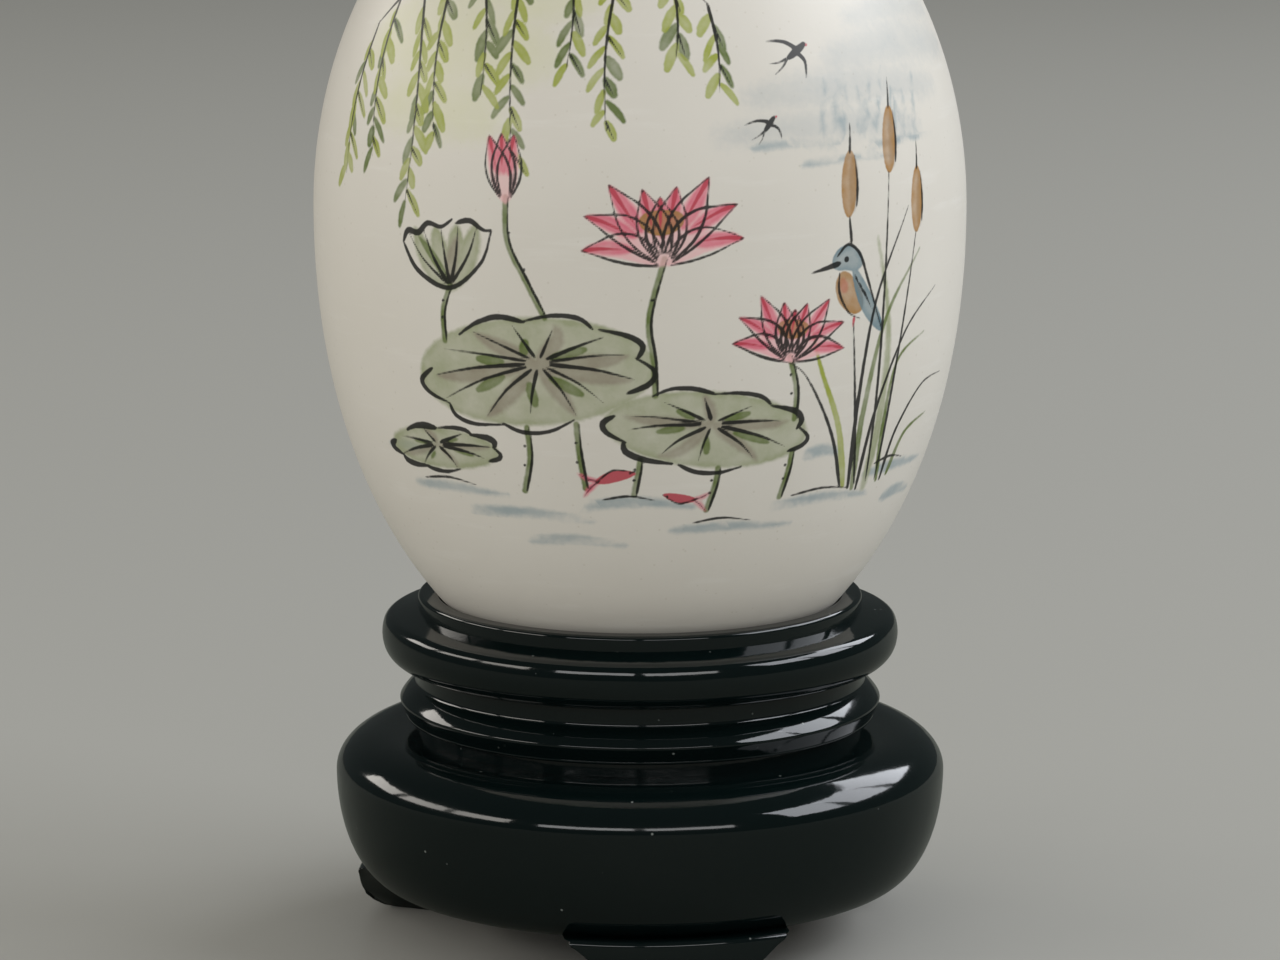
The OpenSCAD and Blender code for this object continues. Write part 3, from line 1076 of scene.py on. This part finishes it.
@dataclass(frozen=True)
class Egg:
    """The blown egg: its shell, and the filler in the drain hole at its pointed end."""

    crown_z: float
    width: float = 45.0
    top: float = 28.0
    low: float = 34.2
    wall: float = 0.45
    hole: float = 4.0
    power: float = 2.14
    outer_rows: int = 138
    inner_rows: int = 26
    front_steps: int = 118
    back_steps: int = 40
    front_angle: float = math.pi
    brush_reach: float = 0.42
    fine_cuts: int = 4
    sharp: float = 60.0

    @property
    def middle_z(self) -> float:
        """Height of the widest ring above the table."""
        return self.crown_z - self.top

    def radius_at(self, height: np.ndarray) -> np.ndarray:
        """Radius of the outer surface.

        Args:
            height: Heights above the table.

        Returns:
            The radius at each height.
        """
        rise = height - self.middle_z
        upper = 1 - np.clip(rise / self.top, 0, 1) ** 2
        lower = 1 - np.clip(-rise / self.low, 0, 1) ** self.power
        return self.width / 2 * np.sqrt(np.minimum(upper, lower))

    def place(self, flat: np.ndarray) -> np.ndarray:
        """Lays points of the painting on the shell.

        Args:
            flat: For each point its arc length from the front line and its height.

        Returns:
            The places in space.
        """
        radius = self.radius_at(flat[:, 1])
        angle = flat[:, 0] / radius
        return np.stack([radius * np.sin(angle), -radius * np.cos(angle), flat[:, 1]], 1)

    def outline(self, inset: float, rows: int) -> Outline:
        """Outline of the egg from the crown down to the drain hole.

        Args:
            inset: Distance inside the outer surface.
            rows: Number of rows in the height.

        Returns:
            The points, the first on the axis.
        """
        wide, top, low = self.width / 2 - inset, self.top - inset, self.low - inset
        fine = np.linspace(0, math.pi / 2, 2000)
        upper = np.stack([wide * np.sin(fine), self.middle_z + top * np.cos(fine)], 1)
        lower = np.stack([wide * np.cos(fine), self.middle_z - low * np.sin(fine) ** (2 / self.power)], 1)
        line = np.concatenate([upper, lower[1:]])
        line = line[: int(np.argmax((line[:, 0] < self.hole / 2) & (line[:, 1] < self.middle_z)))]
        length = np.concatenate([[0], np.cumsum(np.hypot(*np.diff(line, axis=0).T))])
        marks = np.linspace(0, length[-1], rows)
        radii = np.interp(marks, length, line[:, 0])
        radii[-1] = self.hole / 2
        return list(zip(radii, np.interp(marks, length, line[:, 1])))

    def build(self) -> Piece:
        """Turns the shell, with more steps round its front, which carries the painting.

        Returns:
            The shell.
        """
        outer = self.outline(0, self.outer_rows)
        inner = self.outline(self.wall, self.inner_rows)
        piece = start_outline("painted_shell", outer + inner[::-1], -math.pi / 2 - self.front_angle / 2)
        bpy.ops.mesh.select_all(action="DESELECT")
        bpy.ops.object.mode_set(mode="OBJECT")
        last = len(piece.data.vertices) - 1
        for edge in piece.data.edges:
            edge.select = set(edge.vertices) == {0, last}
        bpy.ops.object.mode_set(mode="EDIT")
        bpy.ops.mesh.select_mode(type="EDGE")
        bpy.ops.mesh.delete(type="EDGE")
        bpy.ops.mesh.select_mode(type="VERT")
        bpy.ops.mesh.select_all(action="SELECT")
        spin(self.front_angle, self.front_steps)
        spin(math.tau - self.front_angle, self.back_steps)
        close_mesh(self.sharp)
        return piece

    def divide_near(self, piece: Piece, strokes: list[Stroke]) -> None:
        """Divides the outer faces at the edges of crisp strokes and lays the new points on the egg.

        Args:
            piece: The shell.
            strokes: The painting.
        """
        bpy.ops.object.mode_set(mode="EDIT")
        bpy.ops.mesh.select_mode(type="FACE")
        bpy.ops.mesh.select_all(action="DESELECT")
        bpy.ops.object.mode_set(mode="OBJECT")
        faces = piece.data.polygons
        centres = np.empty(3 * len(faces))
        faces.foreach_get("center", centres)
        centres = centres.reshape(-1, 3) / MM
        outer = np.hypot(centres[:, 0], centres[:, 1]) > self.radius_at(centres[:, 2]) - self.wall / 2
        inside = measure(centres, strokes, self)
        edges = [np.abs(inside[pigment]) < self.brush_reach for pigment in Pigment if pigment.crisp]
        faces.foreach_set("select", outer & np.any(edges, 0))
        bpy.ops.object.mode_set(mode="EDIT")
        bpy.ops.mesh.subdivide(number_cuts=self.fine_cuts)
        bpy.ops.object.mode_set(mode="OBJECT")
        for vertex in piece.data.vertices:
            if vertex.select:
                x, y, z = vertex.co
                grow = float(self.radius_at(np.array(z / MM))) * MM / math.hypot(x, y)
                vertex.co = (x * grow, y * grow, z)
        bpy.ops.object.shade_smooth_by_angle(angle=math.radians(self.sharp))

    def paint(self, piece: Piece) -> None:
        """Paints the pond on the shell, as one layer of stroke distances for each pigment.

        Args:
            piece: The shell.
        """
        strokes = PondPainting().paint()
        self.divide_near(piece, strokes)
        vertices = piece.data.vertices
        points = np.empty(3 * len(vertices))
        vertices.foreach_get("co", points)
        inside = measure(points.reshape(-1, 3) / MM, strokes, self)
        for pigment, depth in inside.items():
            layer = piece.data.attributes.new(pigment.layer, "FLOAT", "POINT")
            layer.data.foreach_set("value", depth)
        log.info("%d strokes", len(strokes))

    def dress_and_place(self) -> None:
        """Builds, paints and dresses the shell and puts it on the egg's body, and dresses the filler."""
        shell = self.build()
        self.paint(shell)
        dress(shell, ShellFinish().make())
        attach(shell, "egg")
        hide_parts("eggshell")
        report(shell)
        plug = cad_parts["drain_plug"]
        dress(plug, PlasterFinish().make())
        report(plug)


@dataclass(frozen=True)
class SeatCollar:
    """Top ring of the stand: a rounded lip round the egg and a full bead."""

    foot_z: float
    wall: float = 2.6
    lip_r: float = 0.3
    lip_rise: float = 5.66
    lip_flat: float = 0.84
    bead_out: float = 3.66
    bead_rise: float = 3.2
    side_r: float = 2.6
    top_r: float = 0.8
    low_r: float = 1.8
    lean: float = 18.0
    slope: float = 12.0
    underside: float = 80.0

    def outline(self) -> Outline:
        """Outline of the collar.

        Returns:
            The closed outline, from the foot of the bore.
        """
        tilt = SEAT.tilt
        lip = (SEAT.radius + math.cos(tilt) * (SEAT.gap + self.lip_r), self.foot_z + self.lip_rise)
        seat_top = (lip[0] - self.lip_r * math.cos(tilt), lip[1] + self.lip_r * math.sin(tilt))
        seat_foot_z = seat_top[1] - (seat_top[0] - SEAT.bore) / SEAT.slope
        side = (lip[0] + self.bead_out - self.side_r, self.foot_z + self.bead_rise)
        lean = math.radians(self.lean)
        slope = math.radians(self.slope)
        top_step, low_step = self.side_r - self.top_r, self.side_r - self.low_r
        top = (side[0] + top_step * math.cos(lean), side[1] + top_step * math.sin(lean))
        low = (side[0] + low_step * math.cos(lean), side[1] - low_step * math.sin(lean))
        foot_r = SEAT.bore + self.wall
        under = math.radians(self.underside)
        under_z = low[1] - self.low_r * math.sin(under)
        under_z -= (low[0] + self.low_r * math.cos(under) - foot_r) / math.tan(under)
        corner_r = lip[0] + self.lip_flat + self.lip_r
        corner_z = top[1] + (top[0] - corner_r) * math.tan(slope) + self.top_r / math.cos(slope)
        return [
            (SEAT.bore, self.foot_z),
            (SEAT.bore, seat_foot_z),
            *arc(lip, self.lip_r, self.lip_r, 180 - math.degrees(tilt), 90),
            *arc((lip[0] + self.lip_flat, lip[1]), self.lip_r, self.lip_r, 90, 0, 20),
            (corner_r, corner_z),
            *arc(top, self.top_r, self.top_r, 90 - self.slope, self.lean),
            *arc(side, self.side_r, self.side_r, self.lean, -self.lean),
            *arc(low, self.low_r, self.low_r, -self.lean, -self.underside),
            (foot_r, under_z),
            (foot_r, self.foot_z),
        ]

    def build(self) -> Piece:
        """Turns the collar."""
        return turn_ring("lacquered_collar", self.outline())


@dataclass(frozen=True)
class WaistRing:
    """Ring under the collar: a sloped face, a fine step and a neck, with a tenon on top."""

    top_z: float
    foot_z: float
    top_r: float
    out: float = 1.15
    cove_r: float = 0.4
    edge_r: float = 0.25
    step_in: float = 0.4
    step_drop: float = 1.05
    step_edge_r: float = 0.15
    neck_in: float = 0.9
    tenon_wall: float = 2.5
    tenon_h: float = 2.0
    glue: float = 0.05
    slope_low: float = 32.0
    slope_high: float = 54.0
    lean: float = 20.0

    @property
    def bore(self) -> float:
        """Radius of the ring's bore."""
        return SEAT.bore - self.tenon_wall

    @property
    def neck_r(self) -> float:
        """Radius of the neck."""
        return self.top_r + self.out - self.step_in - self.neck_in

    def outline(self) -> Outline:
        """Outline of the ring.

        Returns:
            The closed outline, from the foot of the bore.
        """
        low, high = math.radians(self.slope_low), math.radians(self.slope_high)
        bowed = self.out - self.edge_r * (1 - math.cos(low)) - self.cove_r * (1 - math.cos(high))
        face_r = bowed / (math.cos(low) - math.cos(high))
        widest_z = self.top_z - self.edge_r * math.sin(low) - self.cove_r * math.sin(high)
        widest_z -= face_r * (math.sin(high) - math.sin(low))
        edge = (self.top_r + self.out - self.edge_r, widest_z)
        inward = face_r - self.edge_r
        face = (edge[0] - inward * math.cos(low), edge[1] - inward * math.sin(low))
        step = (edge[0] + self.edge_r - self.step_in - self.step_edge_r, widest_z - self.step_drop)
        tenon_r = SEAT.bore - self.glue
        cove = (self.top_r + self.cove_r, self.top_z)
        return [
            (self.bore, self.foot_z),
            (self.neck_r, self.foot_z),
            (self.neck_r, step[1] - self.step_edge_r),
            *arc(step, self.step_edge_r, self.step_edge_r, -90, self.lean),
            *arc(edge, self.edge_r, self.edge_r, -self.lean, self.slope_low),
            *arc(face, face_r, face_r, self.slope_low, self.slope_high),
            *arc(cove, self.cove_r, self.cove_r, 180 + self.slope_high, 180),
            (tenon_r, self.top_z),
            (tenon_r, self.top_z + self.tenon_h),
            (self.bore, self.top_z + self.tenon_h),
        ]

    def build(self) -> Piece:
        """Turns the ring."""
        return turn_ring("lacquered_waist_ring", self.outline())


@dataclass(frozen=True)
class Feet:
    """Three tapered feet under the drum, each dowelled to it."""

    height: float = 3.6
    lap: float = 0.3
    set_in: float = 1.4
    length: float = 8.0
    top_width: float = 15.4
    floor_width: float = 6.4
    edge_r: float = 2.2
    lip_r: float = 0.4
    turn: float = 8.0
    dowel: float = 2.6
    dowel_in_foot: float = 2.0
    dowel_in_drum: float = 3.2
    dowel_set_in: float = 3.0
    glue: float = 0.05
    soft_edge: float = 0.12
    soft_steps: int = 3
    half_span: float = 46.0
    span_steps: int = 46

    def azimuth(self, index: int) -> float:
        """Azimuth of foot index from +X, in radians, counted clockwise from the front."""
        return math.radians(self.turn - 90 - 120 * index)

    def dowel_hole(self, index: int, radius: float, low: float, high: float) -> Piece:
        """Makes the solid that cuts a dowel hole.

        Args:
            index: Number of the foot.
            radius: Distance of the hole from the axis.
            low: Height of its lower end.
            high: Height of its upper end.

        Returns:
            The cutter.
        """
        azimuth = self.azimuth(index)
        place = (radius * math.cos(azimuth), radius * math.sin(azimuth), (low + high) / 2)
        bpy.ops.object.select_all(action="DESELECT")
        bpy.ops.mesh.primitive_cylinder_add(
            vertices=48,
            radius=(self.dowel / 2 + self.glue) * MM,
            depth=(high - low) * MM,
            location=[v * MM for v in place],
        )
        return bpy.context.object

    def build(self, index: int, drum: "BaseDrum") -> Piece:
        """Turns a sector of the foot's outline, planes its flanks and drills it.

        Args:
            index: Number of the foot.
            drum: Drum that the foot laps up over.

        Returns:
            The foot.
        """
        outer = drum.radius - self.set_in
        top = self.height + self.lap
        under = [point for point in drum.side() if point[1] < top]
        outline = [
            (outer - self.length, 0.0),
            *arc((outer - self.edge_r, self.edge_r), self.edge_r, self.edge_r, -90, 0, 18),
            *arc((outer - self.lip_r, top - self.lip_r), self.lip_r, self.lip_r, 0, 90, 8),
            (drum.radius_at(top), top),
            *under[::-1],
            (outer - self.length, self.height),
        ]
        azimuth = self.azimuth(index)
        half_span = math.radians(self.half_span)
        piece = start_outline(f"lacquered_foot_{index}", outline, azimuth - half_span)
        spin(2 * half_span, self.span_steps)
        lean = (self.top_width - self.floor_width) / 2 / top
        # The tool limits each part of the normal to 1, so the normal has unit length.
        unit = 1 / math.hypot(1, lean)
        for side in (-1, 1):
            across = (-side * math.sin(azimuth), side * math.cos(azimuth))
            bpy.ops.mesh.select_all(action="SELECT")
            bpy.ops.mesh.bisect(
                plane_co=tuple(part * self.floor_width / 2 * MM for part in (*across, 0.0)),
                plane_no=tuple(part * unit for part in (*across, -lean)),
                use_fill=True,
                clear_outer=True,
            )
        close_mesh(35)
        modifier = piece.modifiers.new("soft_edge", "BEVEL")
        modifier.width = self.soft_edge * MM
        modifier.segments = self.soft_steps
        modifier.angle_limit = math.radians(40)
        bpy.ops.object.modifier_apply(modifier=modifier.name)
        low, high = self.height - self.dowel_in_foot - self.glue, self.height + 1
        cut_away(piece, [self.dowel_hole(index, drum.flat_r - self.dowel_set_in, low, high)])
        bpy.ops.object.shade_smooth_by_angle(angle=math.radians(35))
        return piece


@dataclass(frozen=True)
class BaseDrum:
    """Squat rounded drum with a tenon for the waist ring and a recess underneath."""

    foot_z: float
    radius: float
    tenon_r: float
    belly: float = 7.8
    shoulder: float = 2.8
    turn_in: float = 3.9
    tenon_h: float = 1.5
    recess_h: float = 1.2
    recess_rim: float = 6.0

    @property
    def flat_r(self) -> float:
        """Radius of the flat top and underside."""
        return self.radius - self.turn_in

    def radius_at(self, height: float) -> float:
        """Radius of the lower half of the side at a height."""
        part = (self.foot_z + self.belly - height) / self.belly
        return self.flat_r + self.turn_in * math.sqrt(1 - part**2)

    def side(self) -> Outline:
        """Lower half of the drum's side, from the underside up to the widest line.

        Returns:
            The points in order.
        """
        return arc((self.flat_r, self.foot_z + self.belly), self.turn_in, self.belly, -90, 0, 48)

    def outline(self) -> Outline:
        """Outline of the drum.

        Returns:
            The outline from the middle of the recess to the middle of the tenon.
        """
        top_z = self.foot_z + self.belly + self.shoulder
        return [
            (0.0, self.foot_z + self.recess_h),
            (self.flat_r - self.recess_rim, self.foot_z + self.recess_h),
            (self.flat_r - self.recess_rim, self.foot_z),
            *self.side(),
            *arc((self.flat_r, self.foot_z + self.belly), self.turn_in, self.shoulder, 0, 90, 40)[1:],
            (self.tenon_r, top_z),
            (self.tenon_r, top_z + self.tenon_h),
            (0.0, top_z + self.tenon_h),
        ]

    def build(self, feet: Feet) -> Piece:
        """Turns the drum and drills it for the dowels.

        Args:
            feet: The feet that are dowelled to it.

        Returns:
            The drum.
        """
        drum = turn_ring("lacquered_drum", self.outline())
        low, high = self.foot_z - 1, self.foot_z + feet.dowel_in_drum + feet.glue
        cut_away(drum, [feet.dowel_hole(i, self.flat_r - feet.dowel_set_in, low, high) for i in range(3)])
        return drum


@dataclass(frozen=True)
class Stand:
    """The turned stand: three rings that are glued over tenons, and three dowelled feet."""

    feet: Feet = field(default_factory=Feet)
    drum_ledge: float = 5.8

    def dress_and_place(self) -> None:
        """Builds and dresses the stand's rings and feet and puts them on its body, and dresses the dowels."""
        lacquer = LacquerFinish().make()
        collar = SeatCollar(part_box("seat_collar")[0].z / MM)
        drum_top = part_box("waist_ring")[0].z / MM
        waist = WaistRing(collar.foot_z, drum_top, SEAT.bore + collar.wall)
        drum_r = waist.neck_r + self.drum_ledge
        drum = BaseDrum(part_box("base_drum")[0].z / MM, drum_r, waist.bore - waist.glue)
        for piece, node in (
            (collar.build(), "seat_collar"),
            (waist.build(), "waist_ring"),
            (drum.build(self.feet), "base_drum"),
            (self.feet.build(0, drum), "foot_front"),
            (self.feet.build(1, drum), "foot_left"),
            (self.feet.build(2, drum), "foot_rear"),
        ):
            dress(piece, lacquer)
            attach(piece, "stand")
            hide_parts(node)
            report(piece)
        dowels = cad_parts["foot_dowels"]
        dress(dowels, DowelFinish().make())
        report(dowels)


@dataclass(frozen=True)
class Window:
    """A pane of light in the sky, at an azimuth from the viewer's side and at an elevation."""

    name: str
    west: float
    east: float
    foot: float
    head: float
    strength: float
    colour: str
    distance: float = 900.0

    def make(self, centre_z: float) -> None:
        """Hangs the pane at its place, facing the object.

        Args:
            centre_z: Height of the point that it faces.
        """
        azimuth = math.radians((self.west + self.east) / 2)
        rise = math.radians((self.foot + self.head) / 2)
        wide = 2 * self.distance * math.tan(math.radians(self.east - self.west) / 2) * math.cos(rise)
        high = 2 * self.distance * math.tan(math.radians(self.head - self.foot) / 2)
        data = bpy.data.lights.new(self.name, "AREA")
        data.shape = "RECTANGLE"
        data.size = wide * MM
        data.size_y = high * MM
        # An area light of this power has the radiance "strength", where 1 is white.
        data.energy = self.strength * math.pi * data.size * data.size_y
        data.color = linear(self.colour)[:3]
        lamp = bpy.data.objects.new(self.name, data)
        level = self.distance * math.cos(rise)
        lamp.location = (
            level * math.sin(azimuth) * MM,
            -level * math.cos(azimuth) * MM,
            (centre_z + self.distance * math.sin(rise)) * MM,
        )
        lamp.rotation_euler = (math.pi / 2 - rise, 0.0, azimuth)
        bpy.context.scene.collection.objects.link(lamp)


@dataclass(frozen=True)
class Studio:
    """Pale table top in a plain room, window light from both sides and the camera."""

    floor_half: float = 1600.0
    panes_face: float = 20.0
    eye: tuple[float, float, float] = (0.0, -356.4, 97.8)
    look_at: tuple[float, float, float] = (0.0, 0.0, 31.7)
    lens: float = 146.25
    sensor: float = 36.0
    nearest: float = 10.0
    room: str = "#BDBCB8"
    room_in_gloss: str = "#444847"
    room_light: float = 0.92

    def windows(self) -> list[Window]:
        """Panes of light, placed where the lacquer's reflections show them.

        Returns:
            The panes.
        """
        rows = (
            ("left", [(-133, -108), (-104, -80), (-76, -51)], (16, 27, 4.6, "#FFFAF2")),
            ("front", [(-38, -2), (2, 35)], (16, 23.5, 4.0, "#FFFFFF")),
            ("right", [(60, 88), (91, 119), (122, 146)], (24, 47, 5.6, "#F4F8FF")),
        )
        return [
            Window(f"{side}_pane_{number}", *edges, *rest)
            for side, spans, rest in rows
            for number, edges in enumerate(spans)
        ]

    def lay_floor(self) -> None:
        """Lays the table top as a wide plane."""
        bpy.ops.object.select_all(action="DESELECT")
        bpy.ops.mesh.primitive_plane_add(size=2 * self.floor_half * MM)
        floor = bpy.context.object
        floor.name = "floor"
        dress(floor, TableFinish().make())

    def set_world(self) -> None:
        """Gives the world a plain pale light, which gloss on the lacquer sees darker, as the table."""
        world = bpy.data.worlds.new("room")
        world.use_nodes = True
        tree = world.node_tree
        tree.nodes.clear()
        board = NodeBoard(tree)
        colour = board.blend(board.in_gloss(), self.room, self.room_in_gloss)
        back = add_node(tree, "ShaderNodeBackground", {"Color": colour, "Strength": self.room_light})
        add_node(tree, "ShaderNodeOutputWorld", {"Surface": back.outputs["Background"]})
        bpy.context.scene.world = world

    def set_camera(self) -> None:
        """Sets the camera at the photograph's viewing angle."""
        data = bpy.data.cameras.new("camera")
        data.sensor_width = self.sensor
        data.lens = self.lens
        data.clip_start = self.nearest * MM
        camera = bpy.data.objects.new("camera", data)
        camera.location = [v * MM for v in self.eye]
        pitch = math.atan2(self.eye[2] - self.look_at[2], -self.eye[1])
        camera.rotation_euler = (math.pi / 2 - pitch, 0.0, 0.0)
        scene = bpy.context.scene
        scene.collection.objects.link(camera)
        scene.camera = camera

    def build(self) -> None:
        """Sets up the whole studio."""
        self.lay_floor()
        self.set_world()
        for pane in self.windows():
            pane.make(self.panes_face)
        self.set_camera()
        bpy.context.scene.view_settings.view_transform = "Standard"


def main() -> None:
    """Builds the egg, the stand and the studio."""
    logging.basicConfig(level=logging.INFO, format="%(message)s")
    Egg(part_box("eggshell")[1].z / MM).dress_and_place()
    Stand().dress_and_place()
    Studio().build()


if __name__ == "__main__":
    main()
